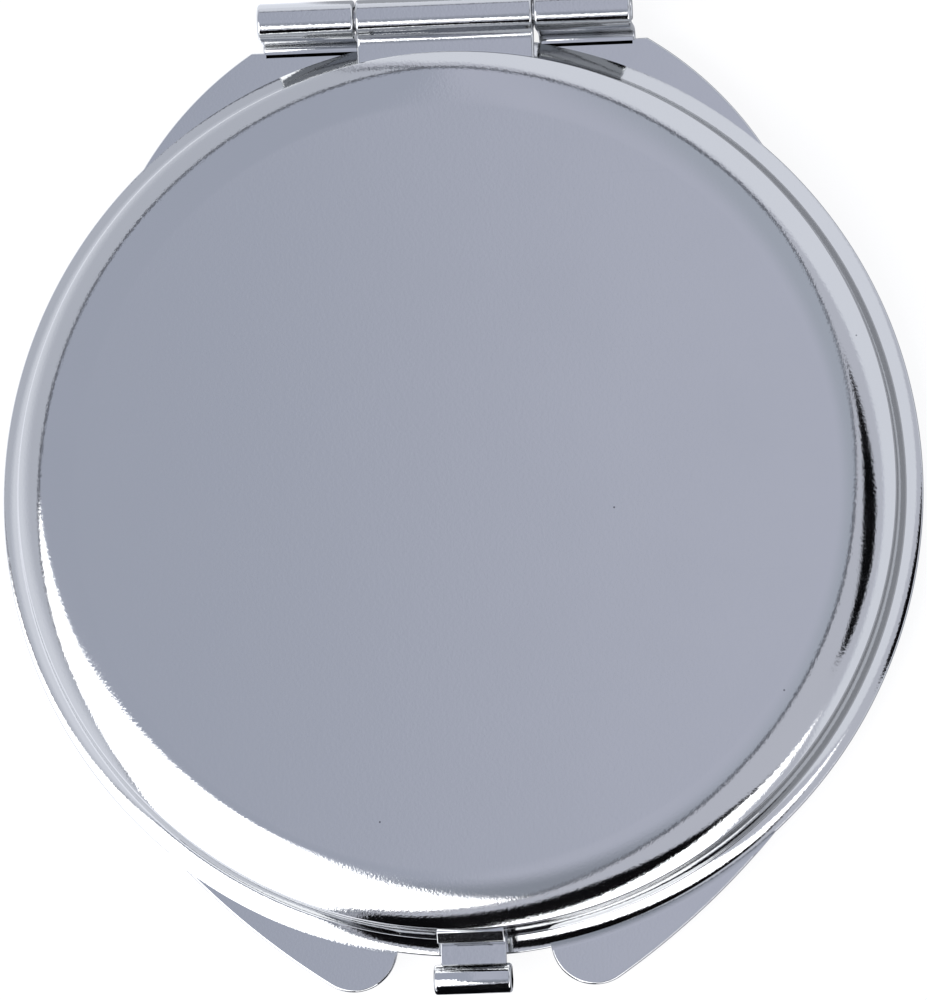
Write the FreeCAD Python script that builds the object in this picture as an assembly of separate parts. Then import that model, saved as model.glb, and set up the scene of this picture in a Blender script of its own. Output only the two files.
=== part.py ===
# Round compact mirror, closed: two plated steel shells on a three-knuckle hinge, with a press latch in front.
# Frame: X right, Y towards the hinge, Z up. The origin is the centre of the flat underside. Millimetres.
import FreeCAD, Part
import math
import os

# Sheet metal
sheet = 0.5
overrun = 2.0
bend_tolerance = 0.075
hidden_bend_tolerance = 0.2
full_turn = 360.0
half_share = 0.5

# Stamped domes of both shells
base_rise = 2.5
lid_rise = 3.0
dome_edge_radius = 4.2
dome_foot_fillet = 0.12

# Flanges and the flared rim between them
base_flange_radius = 32.5
base_flange_width = 1.65
lid_flange_width = 0.22
rim_wall = 0.5
rim_draft = 0.3
rim_flare_width = 0.8
rim_flare_height = 1.0
rim_ledge_height = 2.3
ledge_thickness = 0.5
lid_gap = 0.1

# Hinge
hinge_length = 26.4
middle_knuckle_length = 12.5
knuckle_gap = 0.12
barrel_radius = 1.35
barrel_setback = 1.15
pin_clearance = 0.04
pin_recess = 0.15
leaf_bend = 0.4
leaf_fillet = 0.4
outer_seam_angle = 56.0
middle_seam_angle = 32.0

# Ears that carry the outer knuckles
ear_overhang = 0.85
ear_meet_angle = 47.5
ear_bulge = 0.62

# Thumb guards beside the button
guard_meet_angle = 41.0
guard_tip_radius = 3.1
guard_tip_x = 8.5
guard_tip_turn = 33.5
guard_reach = 2.25

# Press latch
slide_stem_width = 4.6
slide_head_width = 6.6
slide_lift = 0.1
slide_head_length = 1.4
slot_gap = 0.1
roll_radius = 1.05
roll_length = 5.45
roll_overhang = 2.7
roll_seam_angle = 25.0
roll_chamfer = 0.15
nose_width = 2.3
nose_engagement = 0.3
nose_height = 0.45
nose_ramp = 0.2
post_thickness = 0.45
post_gap = 0.2
press_travel = 0.7

# Catch tongue of the lid
tongue_width = 4.7
tongue_bend = 0.2
tongue_offset = 0.35
tongue_foot_gap = 0.15
tongue_bar = 0.45
window_gap = 0.12
notch_gap = 0.12

# Bow spring and the stops behind it
spring_thickness = 0.2
spring_height = 1.1
spring_span = 12.4
spring_bow = 1.5
spring_gap = 0.05
stop_width = 1.4
stop_thickness = 0.35
stop_mirror_gap = 0.25

# Mirrors and what carries them
seat_thickness = 0.35
seat_gap = 0.06
seat_drop = 0.1
adhesive_thickness = 0.4
adhesive_inset = 2.0
mirror_lap = 0.8
lid_mirror_inset = 0.3
lid_mirror_thickness = 1.5
bezel_sheet = 0.35
bezel_gap = 0.05
pad_inset = 3.7

# Levels and radii that follow
base_flange_bottom = base_rise
base_flange_top = base_flange_bottom + sheet
ledge_top = base_flange_top + rim_ledge_height
ledge_bottom = ledge_top - ledge_thickness
lid_flange_bottom = ledge_top + lid_gap
lid_flange_top = lid_flange_bottom + sheet
lid_top = lid_flange_top + lid_rise
dome_foot = base_flange_radius - base_flange_width
lid_flange_radius = dome_foot + lid_flange_width
rim_inner = lid_flange_radius - rim_wall
rim_waist = lid_flange_radius + rim_draft
rim_foot = rim_waist + rim_flare_width
hinge_y = base_flange_radius + barrel_setback
hinge_z = (lid_flange_bottom + lid_flange_top) / 2
bore_radius = barrel_radius - sheet
leaf_front = hinge_y - barrel_radius
leaf_back = leaf_front + sheet
bend_y = leaf_front - leaf_bend
bend_z = base_flange_top + leaf_bend
outer_knuckle_start = middle_knuckle_length / 2 + knuckle_gap
hinge_end = hinge_length / 2
slide_bottom = base_flange_top + slide_lift
slide_top = slide_bottom + sheet
roll_y = roll_radius - base_flange_radius - roll_overhang
roll_z = slide_bottom + roll_radius
tongue_inner = dome_foot + tongue_offset
tongue_outer = tongue_inner + sheet
tongue_foot = slide_top + tongue_foot_gap
window_bottom = tongue_foot + tongue_bar
nose_bottom = window_bottom + window_gap
nose_top = nose_bottom + nose_height
window_top = nose_top + window_gap
post_front = tongue_inner - post_gap
post_back = post_front - post_thickness
shoulder_y = -math.sqrt(rim_inner**2 - (slide_head_width / 2) ** 2) + slot_gap
slide_end = shoulder_y + slide_head_length
seat_top = base_flange_top - seat_drop
seat_bottom = seat_top - seat_thickness
base_mirror_bottom = seat_top + adhesive_thickness
bezel_top = lid_flange_bottom + bezel_sheet
lid_mirror_top = bezel_top + lid_mirror_thickness
spring_bottom = seat_top + spring_gap
spring_front = slide_end + spring_gap
spring_radius = ((spring_span / 2) ** 2 + spring_bow**2) / (spring_bow * 2)
spring_back_radius = spring_radius - spring_thickness
spring_reach = math.degrees(math.asin(spring_span / 2 / spring_radius))
spring_centre_y = spring_front + spring_radius


def rz(r, z):
    """Point of a turned section."""
    return FreeCAD.Vector(r, 0, z)


def yz(y, z):
    """Point of a section across the object."""
    return FreeCAD.Vector(0, y, z)


def xy(x, y):
    """Point of a plan outline."""
    return FreeCAD.Vector(x, y, 0)


def face(start, *steps):
    """Closed outline: a point goes on with a line, a pair (through, end) with an arc."""
    edges = []
    here = start
    for step in steps:
        if isinstance(step, tuple):
            edges.append(Part.Arc(here, *step).toShape())
            here = step[-1]
        else:
            edges.append(Part.LineSegment(here, step).toShape())
            here = step
    edges.append(Part.LineSegment(here, start).toShape())
    return Part.Face(Part.Wire(edges))


def turned(section):
    return section.revolve(rz(0, 0), FreeCAD.Vector(0, 0, 1), full_turn)


def raised(outline, bottom, top):
    """Plan outline as a solid between two levels."""
    blank = outline.extrude(FreeCAD.Vector(0, 0, top - bottom))
    blank.translate(FreeCAD.Vector(0, 0, bottom))
    return blank


def across(section, x_from, x_to):
    """Section across the object as a solid between two stations along X."""
    bar = section.extrude(FreeCAD.Vector(x_to - x_from, 0, 0))
    bar.translate(FreeCAD.Vector(x_from, 0, 0))
    return bar


def centred(section, width):
    return across(section, -width / 2, width / 2)


def mirrored(shape):
    return shape.mirror(FreeCAD.Vector(0, 0, 0), FreeCAD.Vector(1, 0, 0))


def block(x_from, x_to, y_from, y_to, z_from, z_to):
    corner = FreeCAD.Vector(x_from, y_from, z_from)
    return Part.makeBox(x_to - x_from, y_to - y_from, z_to - z_from, corner)


def disc(radius, bottom, top):
    return Part.makeCylinder(radius, top - bottom, FreeCAD.Vector(0, 0, bottom))


def hinge_rod(radius, length):
    start = FreeCAD.Vector(-length / 2, hinge_y, hinge_z)
    return Part.makeCylinder(radius, length, start, FreeCAD.Vector(1, 0, 0))


def polar(centre, radius, degrees):
    """Point of a circle in a section across the object, counted from +Y towards +Z."""
    angle = math.radians(degrees)
    return centre + FreeCAD.Vector(0, radius * math.cos(angle), radius * math.sin(angle))


def curl(centre, radius, degrees_from, degrees_to):
    """Section of a strip end rolled into a barrel, open at its seam."""
    middle = (degrees_from + degrees_to) / 2
    inner = radius - sheet
    return face(
        polar(centre, radius, degrees_from),
        (polar(centre, radius, middle), polar(centre, radius, degrees_to)),
        polar(centre, inner, degrees_to),
        (polar(centre, inner, middle), polar(centre, inner, degrees_from)),
    )


def barrel(centre, radius, degrees_from, degrees_to, x_from, x_to):
    """Rolled barrel between two stations along X."""
    return across(curl(centre, radius, degrees_from, degrees_to), x_from, x_to)


def flats(radius, turn, tolerance):
    """Shares of a turn at which a bend that runs round the rim is drawn in flats, within a tolerance."""
    count = math.ceil(turn / (2 * math.acos(1 - tolerance / radius)))
    return [step / count for step in range(count + 1)]


def dome_form(rise):
    """Slope where the crest's arc runs into the foot's, and the radius of the flat top."""
    bends = dome_edge_radius + dome_foot_fillet
    slope = math.acos(1 - rise / bends)
    return slope, dome_foot - bends * math.sin(slope)


def dome_mouth(height):
    """Radius of a dome's inner foot at a height over its flange's outer face."""
    inner_foot = dome_foot_fillet + sheet
    return dome_foot - math.sqrt(inner_foot**2 - (dome_foot_fillet - height) ** 2)


def dome(flange_face, up, rise):
    """Stamped dome of even sheet, from its flange's outer face up (1, the lid) or down (-1, the base)."""
    slope, flat = dome_form(rise)

    def at(r, height):
        return rz(r, flange_face + up * height)

    def crest(radius, tolerance):
        turns = [slope * share for share in flats(radius, slope, tolerance)]
        hub = rise - dome_edge_radius
        return [at(flat + radius * math.sin(turn), hub + radius * math.cos(turn)) for turn in turns]

    def foot(radius, tolerance):
        turns = [slope * (1 - share) for share in flats(radius, slope, tolerance)]
        hub = dome_foot_fillet
        return [at(dome_foot - radius * math.sin(turn), hub - radius * math.cos(turn)) for turn in turns]

    outside = crest(dome_edge_radius, bend_tolerance) + foot(dome_foot_fillet, bend_tolerance)[1:]
    inside = crest(dome_edge_radius - sheet, hidden_bend_tolerance)
    inside += foot(dome_foot_fillet + sheet, hidden_bend_tolerance)[1:]
    return turned(face(at(0, rise), *outside, *reversed(inside), at(0, rise - sheet)))


def ear():
    """Plan of the right ear, from the rim circle up to the bend of its knuckle's leaf."""
    angle = math.radians(ear_meet_angle)
    meet = xy(base_flange_radius * math.cos(angle), base_flange_radius * math.sin(angle))
    corner = xy(hinge_end + ear_overhang, bend_y)
    chord = corner - meet
    out = xy(-chord.y, chord.x).normalize() * -ear_bulge
    through = (meet + corner) * half_share + out
    return face(meet, (through, corner), xy(outer_knuckle_start, bend_y), xy(outer_knuckle_start, meet.y))


def guard():
    """Plan of the right thumb guard: a long arc off the rim circle that runs smoothly into a round tip."""
    tip = xy(guard_tip_x, guard_tip_radius - base_flange_radius - guard_reach)

    def on_tip(degrees):
        angle = math.radians(degrees)
        return tip + xy(math.sin(angle), -math.cos(angle)) * guard_tip_radius

    angle = math.radians(guard_meet_angle)
    meet = xy(base_flange_radius * math.sin(angle), -base_flange_radius * math.cos(angle))
    join = on_tip(guard_tip_turn)
    inward = (tip - join).normalize()
    chord = join - meet
    arc_radius = -chord.dot(chord) / (inward.dot(chord) * 2)
    arc_centre = join + inward * arc_radius
    half_way = ((meet + join) * half_share - arc_centre).normalize()
    root = on_tip(-90.0)
    return face(
        meet,
        (arc_centre + half_way * arc_radius, join),
        (on_tip((guard_tip_turn - 90.0) / 2), root),
        xy(root.x, meet.y),
    )


def base_flange():
    """Flat flange with ears and thumb guards, open over the dome."""
    plans = [ear(), mirrored(ear()), guard(), mirrored(guard())]
    plate = disc(base_flange_radius, base_flange_bottom, base_flange_top)
    plate = plate.fuse([raised(plan, base_flange_bottom, base_flange_top) for plan in plans]).removeSplitter()
    return plate.cut(disc(dome_foot, base_flange_bottom - overrun, base_flange_top + overrun))


def outer_knuckle():
    """Leaf bent up from the ear and rolled over the pin."""
    axis = yz(hinge_y, hinge_z)
    bend = yz(bend_y, bend_z)
    leaf = face(
        yz(bend_y, base_flange_bottom),
        (polar(bend, leaf_bend + sheet, -45.0), yz(leaf_back, bend_z)),
        yz(leaf_back, hinge_z),
        yz(leaf_front, hinge_z),
        yz(leaf_front, bend_z),
        (polar(bend, leaf_bend, -45.0), yz(bend_y, base_flange_top)),
    )
    seam = outer_seam_angle - 180.0
    roll = barrel(axis, barrel_radius, 180.0, seam, outer_knuckle_start, hinge_end)
    return across(leaf, outer_knuckle_start, hinge_end).fuse(roll).removeSplitter()


def base_shell():
    knuckle = outer_knuckle()
    shell = dome(base_flange_bottom, -1, base_rise)
    return shell.fuse([base_flange(), knuckle, mirrored(knuckle)]).removeSplitter()


def base_rim():
    """Drafted wall under the lid's edge, flared out onto the flange, with a ledge that frames the lower mirror."""
    section = face(
        rz(rim_foot, base_flange_top),
        rz(rim_waist, base_flange_top + rim_flare_height),
        rz(lid_flange_radius, ledge_top),
        rz(ledge_opening, ledge_top),
        rz(ledge_opening, ledge_bottom),
        rz(rim_inner, ledge_bottom),
        rz(rim_inner, base_flange_top),
    )
    above = ledge_top + overrun
    tongue_side = tongue_width / 2 + notch_gap
    stem_side = slide_stem_width / 2 + slot_gap
    post_side = nose_width / 2 + slot_gap
    post_path = post_back - press_travel - notch_gap
    notch_inner = tongue_inner - notch_gap
    notch_outer = tongue_outer + notch_gap
    stem_top = slide_top + slot_gap
    cuts = [
        block(-tongue_side, tongue_side, -notch_outer, -notch_inner, stem_top, above),
        block(-post_side, post_side, -notch_outer, -post_path, stem_top, above),
        block(-stem_side, stem_side, -hinge_y, slide_end, base_flange_top - overrun, stem_top),
    ]
    return turned(section).cut(cuts)


def middle_knuckle():
    """Leaf of the lid run straight out to its barrel, with a soft inner corner on top."""
    axis = yz(hinge_y, hinge_z)
    fillet_z = lid_flange_top + leaf_fillet
    fillet_y = hinge_y - math.sqrt((barrel_radius + leaf_fillet) ** 2 - (fillet_z - hinge_z) ** 2)
    corner = yz(fillet_y, fillet_z)
    towards = (axis - corner).normalize()
    touch = corner + towards * leaf_fillet
    lowest = yz(fillet_y, lid_flange_top)
    through = corner + ((touch + lowest) * half_share - corner).normalize() * leaf_fillet
    leaf = face(
        yz(0, lid_flange_bottom),
        yz(hinge_y, lid_flange_bottom),
        yz(hinge_y, touch.z),
        touch,
        (through, lowest),
        yz(0, lid_flange_top),
    )
    side = middle_knuckle_length / 2
    roll = barrel(axis, barrel_radius, 180.0, middle_seam_angle - 180.0, -side, side)
    inside = disc(dome_foot, lid_flange_bottom - overrun, lid_flange_top + overrun)
    strip = centred(leaf, middle_knuckle_length).cut([inside, hinge_rod(bore_radius, hinge_length)])
    return strip.fuse(roll).removeSplitter()


def catch_tongue():
    """Front of the lid's flange bent down into the rim's notch, with the window that the latch nose holds."""
    bend = yz(tongue_bend - tongue_inner, lid_flange_bottom - tongue_bend)
    section = face(
        yz(0, lid_flange_bottom),
        yz(bend.y, lid_flange_bottom),
        (polar(bend, tongue_bend, 135.0), yz(-tongue_inner, bend.z)),
        yz(-tongue_inner, tongue_foot),
        yz(-tongue_outer, tongue_foot),
        yz(-tongue_outer, bend.z),
        (polar(bend, tongue_bend + sheet, 135.0), yz(bend.y, lid_flange_top)),
        yz(0, lid_flange_top),
    )
    window_side = nose_width / 2 + window_gap
    window = block(-window_side, window_side, -hinge_y, 0, window_bottom, window_top)
    inside = disc(dome_foot, lid_flange_bottom - overrun, lid_flange_top + overrun)
    return centred(section, tongue_width).cut([inside, window])


def lid_flange():
    """Narrow flange round the lid's foot, open where the catch tongue bends down."""
    plate = disc(lid_flange_radius, lid_flange_bottom, lid_flange_top)
    inside = disc(dome_foot, lid_flange_bottom - overrun, lid_flange_top + overrun)
    tongue_side = tongue_width / 2
    tongue_root = block(-tongue_side, tongue_side, -hinge_y, 0, lid_flange_bottom, lid_flange_top)
    return plate.cut([inside, tongue_root])


def lid_shell():
    shell = dome(lid_flange_top, 1, lid_rise)
    return shell.fuse([lid_flange(), middle_knuckle(), catch_tongue()]).removeSplitter()


def hinge_pin():
    return hinge_rod(bore_radius - pin_clearance, hinge_length - pin_recess * 2)


def push_button():
    """Flat T-headed slide, its front rolled up into a thumb barrel, with the latch nose standing on it."""
    stem = slide_stem_width / 2
    head = slide_head_width / 2
    plan = face(
        xy(-stem, roll_y),
        xy(stem, roll_y),
        xy(stem, shoulder_y),
        xy(head, shoulder_y),
        xy(head, slide_end),
        xy(-head, slide_end),
        xy(-head, shoulder_y),
        xy(-stem, shoulder_y),
    )
    strip = raised(plan, slide_bottom, slide_top)
    side = roll_length / 2
    roll = barrel(yz(roll_y, roll_z), roll_radius, -90.0, -full_turn - roll_seam_angle, -side, side)
    rims = [edge for edge in roll.Edges if isinstance(edge.Curve, Part.Circle)]
    rims = [edge for edge in rims if edge.Curve.Radius > roll_radius - sheet / 2]
    roll = roll.makeChamfer(roll_chamfer, rims)
    tip = tongue_inner + nose_engagement
    nose = face(
        yz(-post_front, slide_bottom),
        yz(-post_front, nose_bottom),
        yz(-tip, nose_bottom),
        yz(-tip, nose_top - nose_ramp),
        yz(-post_front, nose_top),
        yz(-post_back, nose_top),
        yz(-post_back, slide_bottom),
    )
    return strip.fuse([roll, centred(nose, nose_width)]).removeSplitter()


def bow(radius, degrees):
    """Point of the bow spring's arc, counted from its middle."""
    angle = math.radians(degrees)
    return xy(radius * math.sin(angle), spring_centre_y - radius * math.cos(angle))


def latch_spring():
    plan = face(
        bow(spring_radius, -spring_reach),
        (bow(spring_radius, 0), bow(spring_radius, spring_reach)),
        bow(spring_back_radius, spring_reach),
        (bow(spring_back_radius, 0), bow(spring_back_radius, -spring_reach)),
    )
    return raised(plan, spring_bottom, spring_bottom + spring_height)


def spring_stop():
    """Near corner, seen from the middle, and far corner of the lug behind the spring's right end."""
    end = bow(spring_back_radius, spring_reach)
    front = end.y + spring_gap
    return xy(end.x - stop_width / 2, front + stop_thickness), xy(end.x + stop_width / 2, front)


def mirror_seat():
    """Plate pressed into the base's mouth, with two lugs turned up behind the spring's ends."""
    plate = disc(dome_mouth(base_flange_bottom - seat_bottom) - seat_gap, seat_bottom, seat_top)
    near, far = spring_stop()
    stop = block(near.x, far.x, far.y, near.y, seat_bottom, spring_bottom + spring_height)
    return plate.fuse([stop, mirrored(stop)]).removeSplitter()


# Mirrors and their frames are as wide as the latch leaves room for
base_mirror_radius = spring_stop()[0].Length - stop_mirror_gap
ledge_opening = base_mirror_radius - mirror_lap
lid_mirror_radius = base_mirror_radius - lid_mirror_inset
bezel_opening = lid_mirror_radius - mirror_lap
adhesive_radius = base_mirror_radius - adhesive_inset
pad_radius = lid_mirror_radius - pad_inset


def lid_bezel():
    """Flat ring pressed into the lid's mouth in front of its mirror."""
    ring = disc(dome_mouth(bezel_top - lid_flange_top) - bezel_gap, lid_flange_bottom, bezel_top)
    return ring.cut(disc(bezel_opening, lid_flange_bottom - overrun, bezel_top + overrun))


pieces = {
    "base_shell": base_shell(),
    "base_rim": base_rim(),
    "mirror_seat": mirror_seat(),
    "base_adhesive": disc(adhesive_radius, seat_top, base_mirror_bottom),
    "base_mirror": disc(base_mirror_radius, base_mirror_bottom, ledge_bottom),
    "lid_shell": lid_shell(),
    "lid_bezel": lid_bezel(),
    "lid_mirror": disc(lid_mirror_radius, bezel_top, lid_mirror_top),
    "lid_pad": disc(pad_radius, lid_mirror_top, lid_top - sheet),
    "hinge_pin": hinge_pin(),
    "push_button": push_button(),
    "latch_spring": latch_spring(),
}

os.makedirs("parts", exist_ok=True)
for name, shape in pieces.items():
    shape.exportStep(f"parts/{name}.step")
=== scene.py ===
import math

import bmesh
import bpy
from mathutils import Matrix, Vector


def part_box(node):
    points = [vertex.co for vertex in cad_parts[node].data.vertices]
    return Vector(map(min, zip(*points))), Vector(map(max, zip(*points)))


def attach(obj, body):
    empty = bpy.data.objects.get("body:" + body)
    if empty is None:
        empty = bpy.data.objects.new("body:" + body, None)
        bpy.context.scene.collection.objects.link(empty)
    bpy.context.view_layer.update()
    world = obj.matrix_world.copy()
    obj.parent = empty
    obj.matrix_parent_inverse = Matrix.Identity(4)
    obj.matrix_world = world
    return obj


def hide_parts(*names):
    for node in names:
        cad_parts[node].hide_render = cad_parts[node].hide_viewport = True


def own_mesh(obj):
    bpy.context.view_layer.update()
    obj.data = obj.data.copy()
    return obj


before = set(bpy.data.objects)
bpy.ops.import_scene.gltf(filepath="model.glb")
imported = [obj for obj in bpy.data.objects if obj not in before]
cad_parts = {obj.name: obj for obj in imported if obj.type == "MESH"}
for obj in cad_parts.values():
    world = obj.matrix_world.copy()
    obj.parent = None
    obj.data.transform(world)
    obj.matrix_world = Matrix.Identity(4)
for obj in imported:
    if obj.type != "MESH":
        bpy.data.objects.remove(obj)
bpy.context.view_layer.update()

# Base shell
# The lower half of the case: steel sheet stamped into a shallow dome, its flange trimmed into two hinge ears
# and two thumb guards. The ears' leaves are bent up and rolled over the pin. It is chrome plated.
mm = 0.001
sheet = 0.5
crest_radius = 4.2
foot_fillet = 0.12
flange_width = 1.65
flat_inset = 0.05
web_overlap = 0.3
edge_rounding = 0.16
barrel_rounding = 0.2
cutter_sharpness = 0.001
turns_round = 480
crest_steps = 32
foot_steps = 12
arc_steps = 24
bend_steps = 10
bore_steps = 48
barrel_steps = 64
rounding_steps = 4
sharp_angle = math.radians(32)


def size(node):
    """Lowest and highest corner of a CAD node, in millimetres."""
    low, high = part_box(node)
    return Vector(low) / mm, Vector(high) / mm


def arc(centre, radius, start, end, steps=arc_steps):
    """Points of an arc between two angles in degrees, both ends kept."""
    angles = [math.radians(start + (end - start) * step / steps) for step in range(steps + 1)]
    return [(centre[0] + radius * math.cos(a), centre[1] + radius * math.sin(a)) for a in angles]


def bowed(start, end, sagitta, steps=arc_steps):
    """Points of the arc from start to end that stands out to the right of its chord by a sagitta."""
    start = Vector(start)
    chord = Vector(end) - start
    side = Vector((chord.y, -chord.x)).normalized()
    radius = (chord.length / 2) ** 2 / (2 * sagitta) + sagitta / 2
    centre = start + chord / 2 - side * (radius - sagitta)
    first = math.degrees(math.atan2(start.y - centre.y, start.x - centre.x))
    sweep = math.degrees(2 * math.asin(chord.length / 2 / radius))
    return arc(centre, radius, first, first + sweep, steps)


def piece_from(name, points, faces):
    """Object with a closed mesh whose faces look outwards; the points are in millimetres."""
    mesh = bpy.data.meshes.new(name)
    mesh.from_pydata([Vector(point) * mm for point in points], [], faces)
    tidy = bmesh.new()
    tidy.from_mesh(mesh)
    bmesh.ops.recalc_face_normals(tidy, faces=tidy.faces)
    tidy.to_mesh(mesh)
    tidy.free()
    piece = bpy.data.objects.new(name, mesh)
    bpy.context.scene.collection.objects.link(piece)
    return piece


def turned(name, section, turns=turns_round):
    """Closed section of (radius, height) points turned about the upright axis."""
    points = []
    rings = []
    for radius, height in section:
        count = turns if radius > 0 else 1
        rings.append([len(points) + turn for turn in range(count)])
        for turn in range(count):
            angle = 2 * math.pi * turn / turns
            points.append((radius * math.cos(angle), radius * math.sin(angle), height))
    faces = []
    for here, there in zip(rings, rings[1:] + rings[:1]):
        if len(here) == 1 and len(there) == 1:
            continue
        for turn in range(turns):
            after = (turn + 1) % turns
            corners = [here[turn % len(here)], here[after % len(here)]]
            corners += [there[after % len(there)], there[turn % len(there)]]
            faces.append(list(dict.fromkeys(corners)))
    return piece_from(name, points, faces)


def pressed(name, outline, low, high, rounding=edge_rounding, across=False):
    """Closed outline, anticlockwise, given a thickness with rounded edges: a plan, or a section along X."""
    outline = [Vector(point) for point in outline]
    inward = []
    for before, here, after in zip(outline[-1:] + outline[:-1], outline, outline[1:] + outline[:1]):
        first = (here - before).normalized()
        second = (after - here).normalized()
        mitre = 1 + first.dot(second)
        inward.append(Vector((-first.y - second.y, first.x + second.x)) / mitre)
    stations = []
    for step in range(rounding_steps + 1):
        angle = math.pi / 2 * step / rounding_steps
        stations.append((rounding * (1 - math.sin(angle)), rounding * (1 - math.cos(angle))))
    levels = [(inset, low + rise) for inset, rise in stations]
    levels += [(inset, high - rise) for inset, rise in reversed(stations)]
    points = []
    for inset, level in levels:
        for here, inner in zip(outline, inward):
            at = here + inner * inset
            points.append((level, at.x, at.y) if across else (at.x, at.y, level))
    count = len(outline)
    faces = [list(reversed(range(count))), [len(points) - count + i for i in range(count)]]
    for level in range(len(levels) - 1):
        for i in range(count):
            after = (i + 1) % count
            corners = [level * count + i, level * count + after]
            faces.append(corners + [(level + 1) * count + after, (level + 1) * count + i])
    return piece_from(name, points, faces)


def block(low, high):
    """Plain cutting block between two corners."""
    outline = [(low[0], low[1]), (high[0], low[1]), (high[0], high[1]), (low[0], high[1])]
    return pressed("cutter", outline, low[2], high[2], (high[2] - low[2]) * cutter_sharpness)


def mirrored(piece):
    """Copy of a piece on the other side of the middle plane."""
    copy = bpy.data.objects.new(piece.name, piece.data.copy())
    copy.data.transform(Matrix.Scale(-1, 4, (1, 0, 0)))
    copy.data.flip_normals()
    bpy.context.scene.collection.objects.link(copy)
    return copy


def worked(piece, operation, tools):
    """Works a piece with tools, by UNION, DIFFERENCE or INTERSECT, and uses the tools up."""
    for tool in tools:
        change = piece.modifiers.new(operation, "BOOLEAN")
        change.operation = operation
        change.solver = "EXACT"
        change.object = tool
        graph = bpy.context.evaluated_depsgraph_get()
        done = bpy.data.meshes.new_from_object(piece.evaluated_get(graph))
        piece.modifiers.clear()
        piece.data = done
        bpy.data.objects.remove(tool)


def polished(piece, material, node, body):
    """Shades a finished piece, gives it its material and puts it in the place of its CAD node."""
    piece.data.materials.clear()
    piece.data.materials.append(material)
    piece.data.shade_smooth()
    piece.data.set_sharp_from_angle(angle=sharp_angle)
    flats = piece.modifiers.new("flats", "WEIGHTED_NORMAL")
    flats.keep_sharp = True
    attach(piece, body)
    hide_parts(node)


def dome_section(flange_face, up, rise, rim):
    """Section of a stamped shell: flat top, round crest, hollow foot and flange."""
    bends = crest_radius + foot_fillet
    slope = math.degrees(math.acos(1 - rise / bends))
    flat = foot_radius - bends * math.sin(math.radians(slope))
    hub = rise - crest_radius

    def crest(radius):
        return arc((flat, hub), radius, 90, 90 - slope, crest_steps)

    def foot(radius):
        return arc((foot_radius, foot_fillet), radius, 270 - slope, 270, foot_steps)

    lower = -sheet
    outside = [(0, rise), (flat - flat_inset, rise)] + crest(crest_radius) + foot(foot_fillet)[1:]
    edge = arc((rim - edge_rounding, -edge_rounding), edge_rounding, 90, 0, rounding_steps)
    edge += arc((rim - edge_rounding, lower + edge_rounding), edge_rounding, 0, -90, rounding_steps)
    inside = list(reversed(crest(crest_radius - sheet) + foot(foot_fillet + sheet)[1:]))
    section = outside + edge + inside + [(flat - flat_inset, rise - sheet), (0, rise - sheet)]
    return [(radius, flange_face + up * height) for radius, height in section]


base_low, base_high = size("base_shell")
rim_low, rim_high = size("base_rim")
pin_low, pin_high = size("hinge_pin")
pin_middle = (pin_low + pin_high) / 2
hinge_axis = Vector((pin_middle.y, pin_middle.z))
barrel_radius = base_high.y - hinge_axis.x
bore_radius = barrel_radius - sheet
flange_radius = base_high.x
flange_top = rim_low.z
flange_bottom = flange_top - sheet
foot_radius = flange_radius - flange_width
web_radius = foot_radius + web_overlap

# Ears reach back to the bend of the knuckles' leaves
leaf_bend = 0.4
leaf_front = hinge_axis.x - barrel_radius
bend_y = leaf_front - leaf_bend
knuckle_start = 6.37
knuckle_end = 13.2
ear_corner = (14.05, bend_y)
ear_meet = 47.5
meet_overlap = 2
ear_bulge = 0.62
ear_start = arc((0, 0), flange_radius, ear_meet, ear_meet, 1)[0]
ear_side = math.degrees(math.acos(knuckle_start / web_radius))
ear_plan = bowed(ear_start, ear_corner, ear_bulge)
ear_plan += [(knuckle_start, bend_y)]
ear_plan += arc((0, 0), web_radius, ear_side, ear_meet - meet_overlap)
ear = pressed("ear", ear_plan, flange_bottom, flange_top)

# Thumb guards run off the rim circle in one long arc into a round tip
guard_meet = -49.0
guard_tip_radius = 3.1
guard_tip_turn = 33.5
guard_tip = Vector((8.5, base_low.y + guard_tip_radius))
guard_start = arc((0, 0), flange_radius, guard_meet, guard_meet, 1)[0]
guard_round = arc(guard_tip, guard_tip_radius, guard_tip_turn - 90, -180)
guard_join = Vector(guard_round[0])
guard_inward = (guard_tip - guard_join).normalized()
guard_chord = Vector(guard_start) - guard_join
guard_arc_radius = guard_chord.length_squared / (2 * guard_chord.dot(guard_inward))
guard_sagitta = guard_arc_radius - math.sqrt(guard_arc_radius**2 - guard_chord.length_squared / 4)
guard_root = math.degrees(math.asin(guard_round[-1][0] / web_radius)) - 90
guard_plan = bowed(guard_join, guard_start, guard_sagitta)
guard_plan += arc((0, 0), web_radius, guard_meet + meet_overlap, guard_root)
guard_plan += list(reversed(guard_round))[:-1]
guard = pressed("guard", guard_plan, flange_bottom, flange_top)

# A low fillet at the guards' roots
root_reach = 32.75
root_rise = 0.107
root_hollow = 0.017
root_start = 32.2
root_sink = 0.1
root_bottom = flange_bottom + root_sink
limit_height = 1
limit_top = flange_top + limit_height
limit_rounding = 0.02
root_bow = bowed((root_start, flange_top + root_rise), (root_reach, flange_top), root_hollow, foot_steps)
root_section = [(root_start, root_bottom), (root_reach, root_bottom)] + list(reversed(root_bow))
guard_fillet = turned("root", root_section)
worked(guard_fillet, "INTERSECT", [pressed("limit", guard_plan, flange_bottom, limit_top, limit_rounding)])
worked(guard, "UNION", [guard_fillet])

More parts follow.
